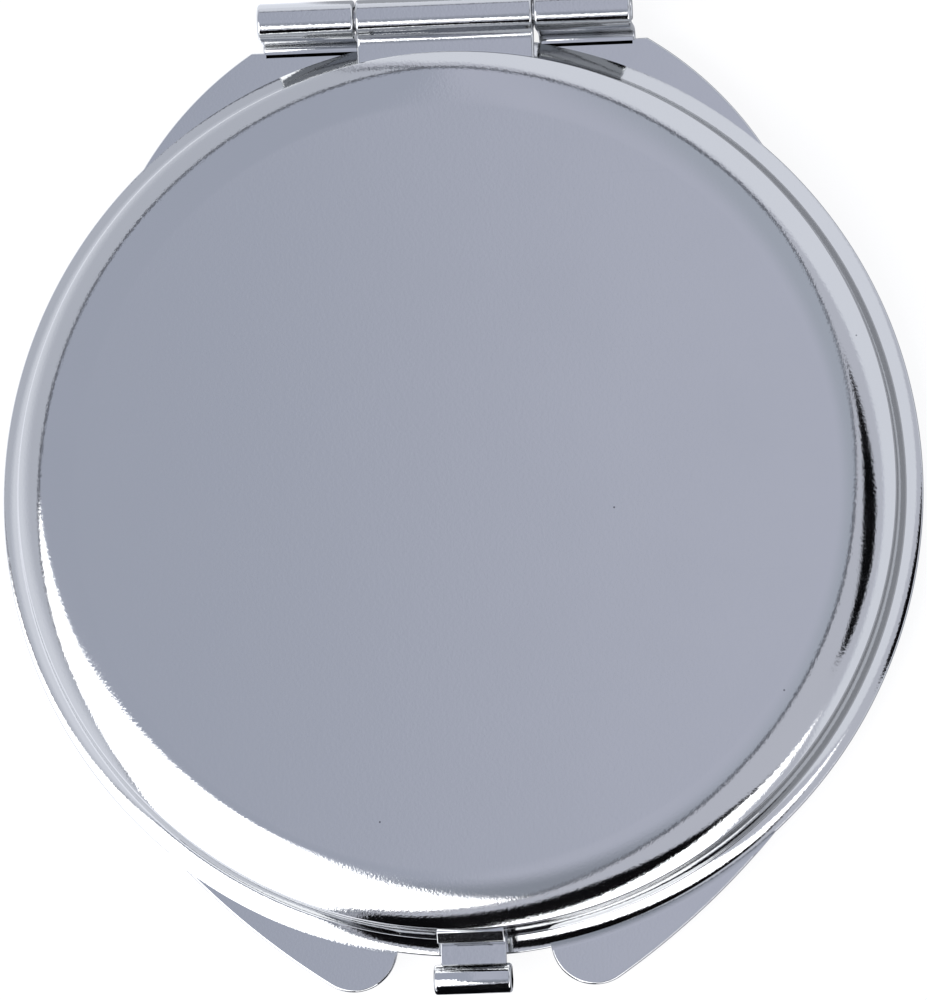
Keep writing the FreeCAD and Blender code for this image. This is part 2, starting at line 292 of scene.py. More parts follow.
# Outer knuckles: the ear's leaf bent up and rolled over the pin, open at a seam under the barrel
outer_seam = -124.0
leaf_centre = (bend_y, flange_top + leaf_bend)
leaf_overlap = 0.4
leaf_root = bend_y - leaf_overlap
knuckle_section = arc(leaf_centre, leaf_bend + sheet, -90, 0, bend_steps)
knuckle_section += arc(hinge_axis, bore_radius, 180, outer_seam, bore_steps)
knuckle_section += arc(hinge_axis, barrel_radius, outer_seam, 180, barrel_steps)
knuckle_section += arc(leaf_centre, leaf_bend, 0, -90, bend_steps)
knuckle_section += [(leaf_root, flange_top), (leaf_root, flange_bottom)]
knuckle = pressed("knuckle", knuckle_section, knuckle_start, knuckle_end, barrel_rounding, across=True)

base_shell = turned("base_shell_stamping", dome_section(flange_bottom, -1, flange_bottom, flange_radius))
worked(base_shell, "UNION", [mirrored(part) for part in (ear, guard, knuckle)] + [ear, guard, knuckle])


def filled(tree, made, sockets):
    """Node whose sockets are set: each takes a plain value or a link from another node."""
    for key, value in dict(sockets).items():
        if isinstance(value, bpy.types.NodeSocket):
            tree.links.new(value, made.inputs[key])
        else:
            made.inputs[key].default_value = value
    return made


def node(tree, kind, sockets=(), **settings):
    """New shader node with its settings and sockets."""
    made = tree.nodes.new(kind)
    for key, value in settings.items():
        setattr(made, key, value)
    return filled(tree, made, sockets)


def maths(tree, operation, *values):
    """Result of a sum on one to three values."""
    return node(tree, "ShaderNodeMath", enumerate(values), operation=operation).outputs["Value"]


def blend(tree, share, first, second):
    """Colour that goes from the first to the second as the share rises from 0 to 1."""
    mix = node(tree, "ShaderNodeMix", {"Factor": share, "A": first, "B": second}, data_type="RGBA")
    return mix.outputs["Result"]


def ramp(tree, value, start, end, low=0.0, high=1.0, kind="LINEAR"):
    """Value that goes from low to high while another goes from start to end."""
    sockets = {"Value": value, "From Min": start, "From Max": end, "To Min": low, "To Max": high}
    return node(tree, "ShaderNodeMapRange", sockets, interpolation_type=kind).outputs["Result"]


def noise(tree, place, per_mm, detail, roughness=0.5):
    """Height of a noise pattern."""
    sockets = {"Vector": place, "Scale": per_mm, "Detail": detail, "Roughness": roughness}
    return node(tree, "ShaderNodeTexNoise", sockets).outputs["Fac"]


def stretched(tree, scale, turn=0.0):
    """The piece's own coordinates in millimetres, turned about the upright axis and then scaled."""
    place = node(tree, "ShaderNodeTexCoord").outputs["Object"]
    counted = node(tree, "ShaderNodeVectorMath", {0: place, "Scale": 1 / mm}, operation="SCALE")
    sockets = {"Vector": counted.outputs["Vector"], "Rotation": (0, 0, turn), "Scale": scale}
    return node(tree, "ShaderNodeMapping", sockets).outputs["Vector"]


def in_millimetres(tree):
    """The piece's own coordinates in millimetres."""
    return stretched(tree, (1, 1, 1))


def bump(tree, height, depth):
    """Normal of a relief whose depth is in metres."""
    return node(tree, "ShaderNodeBump", {"Height": height, "Distance": depth}).outputs["Normal"]


def blank(name):
    """New material with its node tree and its shader."""
    material = bpy.data.materials.new(name)
    material.use_nodes = True
    return material, material.node_tree, material.node_tree.nodes["Principled BSDF"]


def effect(name, inputs, outputs):
    """Shader node group with number inputs and the outputs that are named."""
    group = bpy.data.node_groups.new(name, "ShaderNodeTree")
    for label, value in inputs.items():
        socket = group.interface.new_socket(label, in_out="INPUT", socket_type="NodeSocketFloat")
        socket.default_value = value
    for label, kind in outputs.items():
        group.interface.new_socket(label, in_out="OUTPUT", socket_type=kind)
    return group


def plating_effect():
    """Bright plating: fine orange peel in its height, and a haze that dulls it in cloudy patches."""
    clear_colour = (0.565, 0.572, 0.575, 1)
    hazy_colour = (0.545, 0.553, 0.556, 1)
    cloud_per_mm = 0.11
    tree = effect(
        "plating",
        {"Peel per mm": 2.4, "Clear": 0.04, "Hazy": 0.09},
        {"Colour": "NodeSocketColor", "Roughness": "NodeSocketFloat", "Height": "NodeSocketFloat"},
    )
    given = node(tree, "NodeGroupInput").outputs
    place = in_millimetres(tree)
    cloud = noise(tree, place, cloud_per_mm, detail=5.0, roughness=0.6)
    put_out = {
        "Colour": blend(tree, cloud, clear_colour, hazy_colour),
        "Roughness": ramp(tree, cloud, 0.35, 0.7, given["Clear"], given["Hazy"]),
        "Height": noise(tree, place, given["Peel per mm"], detail=2.0, roughness=0.6),
    }
    node(tree, "NodeGroupOutput", put_out)
    return tree


def handling_effect():
    """Traces of handling: hairline scratches that run both ways, and grains of dust."""
    scratch_per_mm = 3.0
    dust_share = 0.14
    tree = effect(
        "handling",
        {"Dust per mm": 0.35},
        {"Scratch": "NodeSocketFloat", "Dust": "NodeSocketFloat"},
    )
    given = node(tree, "NodeGroupInput").outputs
    lines = []
    for turn, stretch in ((0.5, 0.02), (2.1, 0.03)):
        streak = noise(tree, stretched(tree, (stretch, 1.3, 1.3), turn), scratch_per_mm, detail=2.0)
        lines.append(ramp(tree, streak, 0.71, 0.76, kind="SMOOTHSTEP"))
    sockets = {"Vector": in_millimetres(tree), "Scale": given["Dust per mm"]}
    grains = node(tree, "ShaderNodeTexVoronoi", sockets).outputs
    speck = ramp(tree, grains["Distance"], 0.035, 0.02, kind="SMOOTHSTEP")
    chance = node(tree, "ShaderNodeSeparateColor", {"Color": grains["Color"]}).outputs["Red"]
    some = maths(tree, "GREATER_THAN", chance, 1 - dust_share)
    put_out = {"Scratch": maths(tree, "MAXIMUM", *lines), "Dust": maths(tree, "MULTIPLY", speck, some)}
    node(tree, "NodeGroupOutput", put_out)
    return tree


plating = plating_effect()
handling = handling_effect()
dust_colour = (0.2, 0.2, 0.21, 1)
scratch_dulling = 0.05
flat_facing = 0.999
bent_facing = 0.99
drawn_peel = 2.6


def chrome(name, peel_per_mm, peel_height, clear, hazy):
    """Chrome plating with haze, hairlines, dust, and an orange peel that drawing deepens on the bends."""
    material, tree, shader = blank(name)
    sockets = {"Peel per mm": peel_per_mm, "Clear": clear, "Hazy": hazy}
    coat = node(tree, "ShaderNodeGroup", sockets, node_tree=plating).outputs
    marks = node(tree, "ShaderNodeGroup", node_tree=handling).outputs
    facing = node(tree, "ShaderNodeTexCoord").outputs["Normal"]
    way = node(tree, "ShaderNodeSeparateXYZ", {"Vector": facing}).outputs
    level = maths(tree, "ABSOLUTE", way["Z"])
    flat_peel = peel_height * mm
    depth = ramp(tree, level, flat_facing, bent_facing, flat_peel, flat_peel * drawn_peel)
    sockets = {
        "Metallic": 1.0,
        "Base Color": blend(tree, marks["Dust"], coat["Colour"], dust_colour),
        "Roughness": maths(tree, "MULTIPLY_ADD", marks["Scratch"], scratch_dulling, coat["Roughness"]),
        "Normal": bump(tree, coat["Height"], depth),
    }
    filled(tree, shader, sockets)
    return material


shell_chrome = chrome("shell_chrome", peel_per_mm=5.0, peel_height=0.002, clear=0.04, hazy=0.09)
polished(base_shell, shell_chrome, "base_shell", "base")

# Mirror seat
# A plain steel disc pressed into the base shell's mouth, with two small lugs turned up behind the spring.
# It is bare cold-rolled sheet, hidden once the mirror is glued on.
grain_stretch = (0.05, 1.0, 1.0)
grain_depth = 0.004 * mm
grain_shade = 0.8
dull_least = 0.8
dull_most = 1.3


def shaded(colour, share):
    """Colour made darker, with its alpha."""
    return tuple(part * share for part in colour) + (1,)


def steel(name, colour, roughness, grain_per_mm):
    """Bare steel with the fine parallel lines that rolling or drawing leaves."""
    material, tree, shader = blank(name)
    lines = noise(tree, stretched(tree, grain_stretch), grain_per_mm, detail=4.0)
    sockets = {
        "Metallic": 1.0,
        "Base Color": blend(tree, lines, shaded(colour, grain_shade), shaded(colour, 1)),
        "Roughness": ramp(tree, lines, 0, 1, roughness * dull_least, roughness * dull_most),
        "Normal": bump(tree, lines, grain_depth),
    }
    filled(tree, shader, sockets)
    return material


def dressed(node_name, material):
    """CAD node that keeps its own solid and takes a finish."""
    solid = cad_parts[node_name]
    solid.data.materials.clear()
    solid.data.materials.append(material)


seat_steel = steel("seat_steel", (0.56, 0.57, 0.58), roughness=0.32, grain_per_mm=3.0)
dressed("mirror_seat", seat_steel)

# Latch spring
# A bowed leaf of spring steel strip between the seat's lugs and the back of the slide. It pushes the slide
# out. On the real case it flattens against the lugs as the button is pressed; here it keeps its rest shape.
press_travel = 0.7
latch_spring = bpy.data.objects.new("latch_spring_leaf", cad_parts["latch_spring"].data.copy())
bpy.context.scene.collection.objects.link(latch_spring)
spring_steel = steel("spring_steel", (0.5, 0.5, 0.52), roughness=0.25, grain_per_mm=5.0)
polished(latch_spring, spring_steel, "latch_spring", "base")
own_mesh(latch_spring)

# Push button
# A T-headed slide of chromed sheet under the rim. Its front end is rolled up into the thumb barrel, and the
# latch nose stands on it behind the lid's catch tongue.
button_low, button_high = size("push_button")
roll_radius = 1.05
roll_side = 2.725
roll_rounding = 0.2
roll_seam = -385.0
roll_bore_steps = 56
roll_steps = 80
slide_rounding = 0.06
roll_centre = Vector((button_low.y + roll_radius, button_low.z + roll_radius))
slide_top = button_low.z + sheet
stem_side = 2.3
head_length = 1.4
shoulder_y = button_high.y - head_length
slide_plan = [
    (-stem_side, roll_centre.x),
    (stem_side, roll_centre.x),
    (stem_side, shoulder_y),
    (button_high.x, shoulder_y),
    (button_high.x, button_high.y),
    (-button_high.x, button_high.y),
    (-button_high.x, shoulder_y),
    (-stem_side, shoulder_y),
]
push_button = pressed("push_button_slide", slide_plan, button_low.z, slide_top, slide_rounding)
roll_section = arc(roll_centre, roll_radius - sheet, -90, roll_seam, roll_bore_steps)
roll_section += arc(roll_centre, roll_radius, roll_seam, -90, roll_steps)
roll = pressed("roll", roll_section, -roll_side, roll_side, roll_rounding, across=True)

# The nose hooks under the window's upper edge, with a ramp on top that the tongue rides down
nose_side = 1.15
nose_tip = -31.5
nose_low = 4.32
nose_ramp = 4.57
nose_top = 4.77
post_front = -31.0
post_back = -30.55
post_sink = 0.05
post_foot = button_low.z + post_sink
nose_rounding = 0.05
nose_section = [
    (post_front, post_foot),
    (post_back, post_foot),
    (post_back, nose_top),
    (post_front, nose_top),
    (nose_tip, nose_ramp),
    (nose_tip, nose_low),
    (post_front, nose_low),
]
nose = pressed("nose", nose_section, -nose_side, nose_side, nose_rounding, across=True)
worked(push_button, "UNION", [roll, nose])
button_chrome = chrome("button_chrome", peel_per_mm=3.0, peel_height=0.004, clear=0.04, hazy=0.08)
polished(push_button, button_chrome, "push_button", "button")

# Base adhesive
# A pale double-sided film that holds the lower mirror on its seat.
cell_shade = 0.82


def soft_film(name, colour, roughness, grain_per_mm, grain_height):
    """Dull soft material with a fine cellular grain."""
    material, tree, shader = blank(name)
    sockets = {"Vector": in_millimetres(tree), "Scale": grain_per_mm}
    cells = node(tree, "ShaderNodeTexVoronoi", sockets).outputs["Distance"]
    sockets = {
        "Base Color": blend(tree, cells, shaded(colour, cell_shade), shaded(colour, 1)),
        "Roughness": roughness,
        "Normal": bump(tree, cells, grain_height * mm),
    }
    filled(tree, shader, sockets)
    return material


film_colour = (0.85, 0.83, 0.76)
adhesive_film = soft_film("adhesive_film", film_colour, roughness=0.55, grain_per_mm=2.0, grain_height=0.02)
dressed("base_adhesive", adhesive_film)

# Base mirror
# A disc of silvered glass glued on the seat under the rim's ledge. Its edge is ground, and the glass shows
# green there.


def disc_section(radius, low, high, chamfer):
    """Section of a flat disc with chamfered edges; its rings keep the flats flat."""
    flat = radius - chamfer
    side = [(flat, low), (radius, low + chamfer), (radius, high - chamfer), (flat, high)]
    return [(0, low), (flat - chamfer, low)] + side + [(flat - chamfer, high), (0, high)]


def silvered_glass():
    """Mirror face with faint wiping smears and dust."""
    silver = (0.9, 0.925, 0.92, 1)
    dust = (0.6, 0.6, 0.58, 1)
    material, tree, shader = blank("silvered_glass")
    marks = node(tree, "ShaderNodeGroup", {"Dust per mm": 0.3}, node_tree=handling).outputs
    smear = noise(tree, stretched(tree, (0.06, 0.25, 0.25)), 1.0, detail=4.0)
    sockets = {
        "Metallic": 1.0,
        "Coat Weight": 0.3,
        "Base Color": blend(tree, marks["Dust"], silver, dust),
        "Roughness": ramp(tree, smear, 0.4, 0.75, 0.012, 0.05),
    }
    filled(tree, shader, sockets)
    return material


def ground_glass():
    """Ground edge of a glass disc: pale green and matt."""
    deep_green = (0.28, 0.42, 0.37, 1)
    pale_green = (0.5, 0.62, 0.57, 1)
    grit_depth = 0.01 * mm
    material, tree, shader = blank("ground_glass")
    grit = noise(tree, in_millimetres(tree), 14.0, detail=3.0)
    sockets = {
        "Base Color": blend(tree, grit, deep_green, pale_green),
        "Roughness": 0.45,
        "Normal": bump(tree, grit, grit_depth),
    }
    filled(tree, shader, sockets)
    return material


mirror_face = silvered_glass()
mirror_edge = ground_glass()
mirror_chamfer = 0.15
face_limit = 0.9


def mirror_disc(name, node_name, body):
    """Glass disc with a silvered face and a ground edge, in the place of its CAD node."""
    low, high = size(node_name)
    disc = turned(name, disc_section(high.x, low.z, high.z, mirror_chamfer))
    polished(disc, mirror_face, node_name, body)
    disc.data.materials.append(mirror_edge)
    for face in disc.data.polygons:
        face.material_index = 0 if abs(face.normal.z) > face_limit else 1


mirror_disc("base_mirror_glass", "base_mirror", "base")

# Base rim
# A chromed ring on the base's flange: a drafted wall that carries the lid's edge, flared out at its foot.
# Its inward ledge frames the lower mirror, and it is notched for the catch tongue and the slide.
lid_low, lid_high = size("lid_shell")
mirror_high = size("base_mirror")[1]
mirror_overlap = 0.8
rim_wall = 0.5
rim_draft = 0.38
flare_height = 0.736
flare_hollow = 0.061
flare_inset = 0.08
flare_steps = 16
flare_trim = 3
waist_reach = 0.15
edge_draw = 0.15
top_rounding = 0.1
lid_edge = lid_high.x - edge_draw
rim_inner = lid_high.x - rim_wall
rim_waist = (lid_edge + rim_draft, rim_low.z + flare_height)
rim_foot = (flange_radius - flare_inset, rim_low.z)
ledge_bottom = mirror_high.z
ledge_top = rim_high.z
ledge_opening = mirror_high.x - mirror_overlap
ledge_rounding = 0.2
ledge_hub = ledge_opening + ledge_rounding
ledge_steps = 6


def eased(before, corner, after, reach, steps=8):
    """Points of a smooth bend that cuts a corner, from a reach before it to a reach after it."""
    corner = Vector(corner)
    start = corner + (Vector(before) - corner).normalized() * reach
    end = corner + (Vector(after) - corner).normalized() * reach
    shares = [step / steps for step in range(steps + 1)]
    return [tuple(start * (1 - s) ** 2 + corner * 2 * s * (1 - s) + end * s**2) for s in shares]


rim_edge = (lid_edge, ledge_top)
rim_flare = bowed(rim_waist, rim_foot, flare_hollow, flare_steps)
rim_section = list(reversed(rim_flare[flare_trim:]))
rim_section += eased(rim_section[-1], rim_waist, rim_edge, waist_reach)
rim_section += eased(rim_waist, rim_edge, (ledge_opening, ledge_top), top_rounding)
rim_section += arc((ledge_hub, ledge_top - ledge_rounding), ledge_rounding, 90, 180, ledge_steps)
rim_section += arc((ledge_hub, ledge_bottom + ledge_rounding), ledge_rounding, 180, 270, ledge_steps)
rim_section += [(rim_inner, ledge_bottom), (rim_inner, rim_low.z)]
base_rim = turned("base_rim_ring", rim_section)

# Cuts for the catch tongue, the nose's post and the slide at the latch
overrun = 2.0
tongue_side = 2.35
tongue_clearance = 0.35
tongue_inner = foot_radius + tongue_clearance
tongue_outer = tongue_inner + sheet
notch_gap = 0.12
notch_side = tongue_side + notch_gap
notch_inner = tongue_inner - notch_gap
notch_outer = tongue_outer + notch_gap
slide_gap = 0.1
notch_floor = slide_top + slide_gap
post_gap = 0.1
post_path = post_back + press_travel + notch_gap
slot_side = stem_side + slide_gap
slot_front = -flange_radius - overrun
above = ledge_top + overrun
cuts = [
    block((-notch_side, -notch_outer, notch_floor), (notch_side, -notch_inner, above)),
    block((-nose_side - post_gap, -notch_outer, notch_floor), (nose_side + post_gap, post_path, above)),
    block((-slot_side, slot_front, rim_low.z - overrun), (slot_side, button_high.y, notch_floor)),
]
worked(base_rim, "DIFFERENCE", cuts)
rim_chrome = chrome("rim_chrome", peel_per_mm=5.0, peel_height=0.0015, clear=0.04, hazy=0.08)
polished(base_rim, rim_chrome, "base_rim", "base")

# Hinge pin
# A drawn steel wire through the three knuckles, its ends left just inside the outer barrels.
pin_radius = pin_high.y - hinge_axis.x
pin_rounding = 0.15
pin_section = arc(hinge_axis, pin_radius, 0, 360, barrel_steps)[:-1]
hinge_pin = pressed("hinge_pin_wire", pin_section, pin_low.x, pin_high.x, pin_rounding, across=True)
pin_steel = steel("pin_steel", (0.58, 0.58, 0.59), roughness=0.22, grain_per_mm=6.0)
polished(hinge_pin, pin_steel, "hinge_pin", "base")

# Lid shell
# The upper half of the case, stamped with a plain flat face, a round crest and a steep side wall. A leaf
# runs straight out from the wall's foot to the middle knuckle. The catch tongue is bent down at the front.
lid_gap = 0.1
lid_flange_bottom = rim_high.z + lid_gap
lid_flange_top = lid_flange_bottom + sheet
lid_crest = 6.5
lid_slope = 38.0
shoulder_radius = 0.25
wall_draft = math.radians(1)
wall_rounding = 0.05
crest_hub = lid_high.z - lid_crest
shoulder_z = crest_hub + (lid_crest - shoulder_radius) * math.cos(math.radians(lid_slope))
shoulder_drawn = (shoulder_z - lid_flange_bottom) * math.sin(wall_draft)
shoulder = (lid_edge - (shoulder_radius + shoulder_drawn) / math.cos(wall_draft), shoulder_z)
lid_flat = shoulder[0] - (lid_crest - shoulder_radius) * math.sin(math.radians(lid_slope))
wall_inner = lid_edge - sheet
inner_slope = math.degrees(math.asin((wall_inner - lid_flat) / (lid_crest - sheet)))
crest_middle = (lid_flat, crest_hub)
wall_foot = (lid_edge - wall_rounding, lid_flange_bottom + wall_rounding)
lid_section = [(0, lid_high.z), (lid_flat - flat_inset, lid_high.z)]
lid_section += arc(crest_middle, lid_crest, 90, 90 - lid_slope, crest_steps)
lid_section += arc(shoulder, shoulder_radius, 90 - lid_slope, math.degrees(wall_draft), foot_steps)[1:]
lid_section += arc(wall_foot, wall_rounding, math.degrees(wall_draft), -90, rounding_steps)
lid_section += [(wall_inner, lid_flange_bottom)]
lid_section += arc(crest_middle, lid_crest - sheet, 90 - inner_slope, 90, crest_steps)
lid_section += [(lid_flat - flat_inset, lid_high.z - sheet), (0, lid_high.z - sheet)]
lid_shell = turned("lid_shell_stamping", lid_section)

# Middle knuckle: a leaf rolled over the pin, with a fillet where the barrel leaves it
middle_side = 6.25
middle_seam = -148.0
middle_bore_steps = 56
middle_steps = 72
leaf_fillet = 1.1
leaf_start = 29.9
wall_overlap = 0.3
leaf_inside = lid_edge - wall_overlap
fillet_z = lid_flange_top + leaf_fillet
fillet_run = math.sqrt((barrel_radius + leaf_fillet) ** 2 - (fillet_z - hinge_axis.y) ** 2)
fillet_centre = Vector((hinge_axis.x - fillet_run, fillet_z))
touch = math.degrees(math.atan2(fillet_z - hinge_axis.y, -fillet_run))
leaf_under = math.degrees(math.asin((lid_flange_bottom - hinge_axis.y) / bore_radius))
middle_section = arc(hinge_axis, barrel_radius, middle_seam, touch, middle_steps)
middle_section += arc(fillet_centre, leaf_fillet, touch - 180, -90, bend_steps)[1:]
middle_section += [(leaf_start, lid_flange_top), (leaf_start, lid_flange_bottom)]
middle_section += arc(hinge_axis, bore_radius, 180 - leaf_under, middle_seam, middle_bore_steps)
middle_knuckle = pressed("middle", middle_section, -middle_side, middle_side, barrel_rounding, across=True)

# Catch tongue: bent down under a sloped brow, with the window that the latch nose hooks into
tongue_foot = lid_low.z
tongue_bend = 0.2
tongue_bend_steps = 6
tongue_rounding = 0.06
brow_gap = 0.03
brow_top_rounding = 0.05
brow_end_rounding = 0.1
tongue_hub = (tongue_bend - tongue_inner, lid_flange_bottom - tongue_bend)
tongue_slope = math.tan(math.radians(30))
tongue_brow = -lid_edge - brow_gap
brow_start = (tongue_brow, lid_flange_top)
brow_end = (-tongue_outer, lid_flange_top - (tongue_outer + tongue_brow) * tongue_slope)
tongue_start = -leaf_inside
tongue_section = eased((tongue_start, lid_flange_top), brow_start, brow_end, brow_top_rounding)
tongue_section += eased(brow_start, brow_end, (-tongue_outer, tongue_foot), brow_end_rounding)
tongue_section += [(-tongue_outer, tongue_foot), (-tongue_inner, tongue_foot)]
tongue_section += arc(tongue_hub, tongue_bend, 180, 90, tongue_bend_steps)
tongue_section += [(tongue_start, lid_flange_bottom), (tongue_start, lid_flange_top)]
tongue = pressed("tongue", tongue_section, -tongue_side, tongue_side, tongue_rounding, across=True)
window_gap = 0.12
window_side = nose_side + window_gap
window = block(
    (-window_side, -tongue_outer - overrun, nose_low - window_gap),
    (window_side, -tongue_inner + overrun, nose_top + window_gap),
)
inside_low = lid_flange_bottom - overrun
inside_high = lid_flange_top + overrun
lid_inside = [(0, inside_low), (leaf_inside, inside_low), (leaf_inside, inside_high), (0, inside_high)]
worked(middle_knuckle, "DIFFERENCE", [turned("lid_inside", lid_inside)])
worked(tongue, "DIFFERENCE", [window])
worked(lid_shell, "UNION", [middle_knuckle, tongue])
lid_chrome = chrome("lid_chrome", peel_per_mm=5.0, peel_height=0.0018, clear=0.04, hazy=0.09)
polished(lid_shell, lid_chrome, "lid_shell", "lid")

# Lid pad
# A disc of soft foam behind the upper mirror. It presses the glass against its bezel.
pad_low, pad_high = size("lid_pad")
pad_rounding = 0.45
pad_crown = 0.03
pad_steps = 8
pad_turns = 160
pad_middle = pad_high.x * 0.5
pad_hub = pad_high.x - pad_rounding
pad_section = [(0, pad_low.z), (pad_middle, pad_low.z)]
pad_section += arc((pad_hub, pad_low.z + pad_rounding), pad_rounding, -90, 0, pad_steps)
pad_section += arc((pad_hub, pad_high.z - pad_rounding - pad_crown), pad_rounding, 0, 90, pad_steps)
pad_section += [(pad_middle, pad_high.z - pad_crown * 0.5), (0, pad_high.z)]
lid_pad = turned("lid_pad_foam", pad_section, pad_turns)
pad_foam = soft_film("pad_foam", (0.88, 0.88, 0.86), roughness=0.9, grain_per_mm=4.0, grain_height=0.12)
polished(lid_pad, pad_foam, "lid_pad", "lid")

# Lid mirror
# The upper silvered glass disc, held in the lid by the bezel.
mirror_disc("lid_mirror_glass", "lid_mirror", "lid")

# Lid bezel
# A flat chromed ring pressed into the lid's mouth that frames the upper mirror.
bezel_low, bezel_high = size("lid_bezel")
bezel_opening = size("lid_mirror")[1].x - mirror_overlap
bezel_rounding = 0.12
bezel_steps = 5
bezel_bottom_hub = bezel_low.z + bezel_rounding
bezel_top_hub = bezel_high.z - bezel_rounding
bezel_outer_hub = bezel_high.x - bezel_rounding
bezel_inner_hub = bezel_opening + bezel_rounding
bezel_section = arc((bezel_outer_hub, bezel_bottom_hub), bezel_rounding, -90, 0, bezel_steps)
bezel_section += arc((bezel_outer_hub, bezel_top_hub), bezel_rounding, 0, 90, bezel_steps)
bezel_section += arc((bezel_inner_hub, bezel_top_hub), bezel_rounding, 90, 180, bezel_steps)
bezel_section += arc((bezel_inner_hub, bezel_bottom_hub), bezel_rounding, 180, 270, bezel_steps)
lid_bezel = turned("lid_bezel_ring", bezel_section)
bezel_chrome = chrome("bezel_chrome", peel_per_mm=2.6, peel_height=0.004, clear=0.05, hazy=0.1)
polished(lid_bezel, bezel_chrome, "lid_bezel", "lid")

# Floor
# A plain white table, wide enough to fill every view. It is white to the camera. In the chrome it shows a
# painted reflection, a cool light grey with a painted dark right part. It keeps the object's soft shadow.
floor_radius = 3000
floor_thickness = 1
floor_turns = 64
floor_white = (0.86, 0.86, 0.86, 1)
# Painted reflection tones that only the chrome sees; the dark right one is painted shade
floor_painted_dark_right = (0.34, 0.35, 0.39, 1)
floor_painted_back = (1.0, 1.03, 1.13, 1)
floor_painted_front = (1.1, 1.13, 1.24, 1)
floor_painted_dark_line = -10 * mm
floor_fade = 25 * mm
floor_colour = (0.18, 0.18, 0.18, 1)
floor_section = [(0, 0), (floor_radius, 0), (floor_radius, -floor_thickness), (0, -floor_thickness)]
floor = turned("floor", floor_section, floor_turns)
floor_material = bpy.data.materials.new("floor_white")
floor_material.use_nodes = True
floor_tree = floor_material.node_tree
floor_tree.nodes.clear()
floor_path = node(floor_tree, "ShaderNodeLightPath").outputs
floor_seen = maths(floor_tree, "MAXIMUM", floor_path["Is Camera Ray"], floor_path["Is Glossy Ray"])
floor_shown = maths(floor_tree, "MAXIMUM", floor_seen, floor_path["Is Transmission Ray"])
floor_place = node(floor_tree, "ShaderNodeTexCoord").outputs["Object"]
floor_way = node(floor_tree, "ShaderNodeSeparateXYZ", {"Vector": floor_place}).outputs
# Painted reflection: glossy rays see a bluish glow that is darker on the right as painted shade, and the
# camera sees white
floor_painted_front_share = ramp(floor_tree, floor_way["Y"], -floor_fade, floor_fade, kind="SMOOTHSTEP")
floor_painted_left = blend(floor_tree, floor_painted_front_share, floor_painted_front, floor_painted_back)
floor_painted_dark_side = ramp(floor_tree, floor_way["X"], floor_painted_dark_line - mm, floor_painted_dark_line + mm)
floor_painted_reflection = blend(floor_tree, floor_painted_dark_side, floor_painted_left, floor_painted_dark_right)
floor_glow = blend(floor_tree, floor_path["Is Camera Ray"], floor_painted_reflection, floor_white)
floor_light = node(floor_tree, "ShaderNodeEmission", {"Color": floor_glow, "Strength": floor_shown})
floor_matt = node(floor_tree, "ShaderNodeBsdfDiffuse", {"Color": floor_colour})
floor_both = node(floor_tree, "ShaderNodeAddShader", {0: floor_light.outputs[0], 1: floor_matt.outputs[0]})
node(floor_tree, "ShaderNodeOutputMaterial", {"Surface": floor_both.outputs[0]})
floor.data.materials.append(floor_material)

# Cards
# Two black cards that only the chrome sees, painting shade into its reflections. One lies on the table in
# front of the latch and to its right, and one stands in front of the button. They make the painted dark
# lines round the chrome's foot and on the roll.
# Painted shade: black for cards that darken only what the chrome reflects
painted_shade_black = (0.01, 0.01, 0.012, 1)
card_bottom = 0.02
card_rounding = 0.02


def card(name, plan, top):
    """Black card that only the chrome sees, painting shade into its reflections."""
    sheet_card = pressed(name, plan, card_bottom, top, card_rounding)
    material, tree, shader = blank(name)
    filled(tree, shader, {"Base Color": painted_shade_black, "Roughness": 0.9, "Specular IOR Level": 0.0})
    sheet_card.data.materials.append(material)
    sheet_card.visible_camera = False
    sheet_card.visible_shadow = False
    sheet_card.visible_diffuse = False


painted_shade_top = 0.12
painted_shade_plan = [(-12, -36.5), (-10, -50), (-4, -68), (23, -640), (377, -552), (52, -47), (34, -39.4)]
painted_shade_plan += [(2, -39.6), (0, -36.5)]
card("painted_shade_card", painted_shade_plan, painted_shade_top)
thumb_shade_card_top = 7.0
thumb_shade_card_plan = [(-3.2, -41), (3.2, -41), (3.2, -37.5), (-3.2, -37.5)]
card("thumb_painted_shade_card", thumb_shade_card_plan, thumb_shade_card_top)

# Studio
# A light tent: a blue-grey ceiling, a softbox at the front left, a pale wall at the right with a dark
# doorway in it, a backdrop behind, and in front a dark counter with a bright strip under it.
wrap_azimuth = 110
ceiling_light = (0.69, 0.716, 0.853, 1)
ceiling_dim = (0.562, 0.6, 0.724, 1)
ceiling_front = (0.4, 0.43, 0.51, 1)
ceiling_far = (0.58, 0.625, 0.73, 1)
light_span = (-0.125, -0.063)
far_span = (-0.04, 0.3)
front_span = (-0.1, -0.45)
backdrop_colour = (0.72, 0.75, 0.85, 1)
table_colour = (1.06, 1.09, 1.2, 1)
wall_colour = (0.76, 0.78, 0.885, 1)
softbox_colour = (3.4, 3.4, 3.5, 1)
dark_colour = (0.004, 0.004, 0.005, 1)
seam_colour = (0.2, 0.21, 0.25, 1)
seam_height = 3.4
seam_softness = 1.0
wall_softness = 0.7
counter_softness = 0.7
doorway_softness = 0.8
softbox_softness = 1.0
bounce_softness = 9.0
table_softness = 2.0
table_drop = 1.0

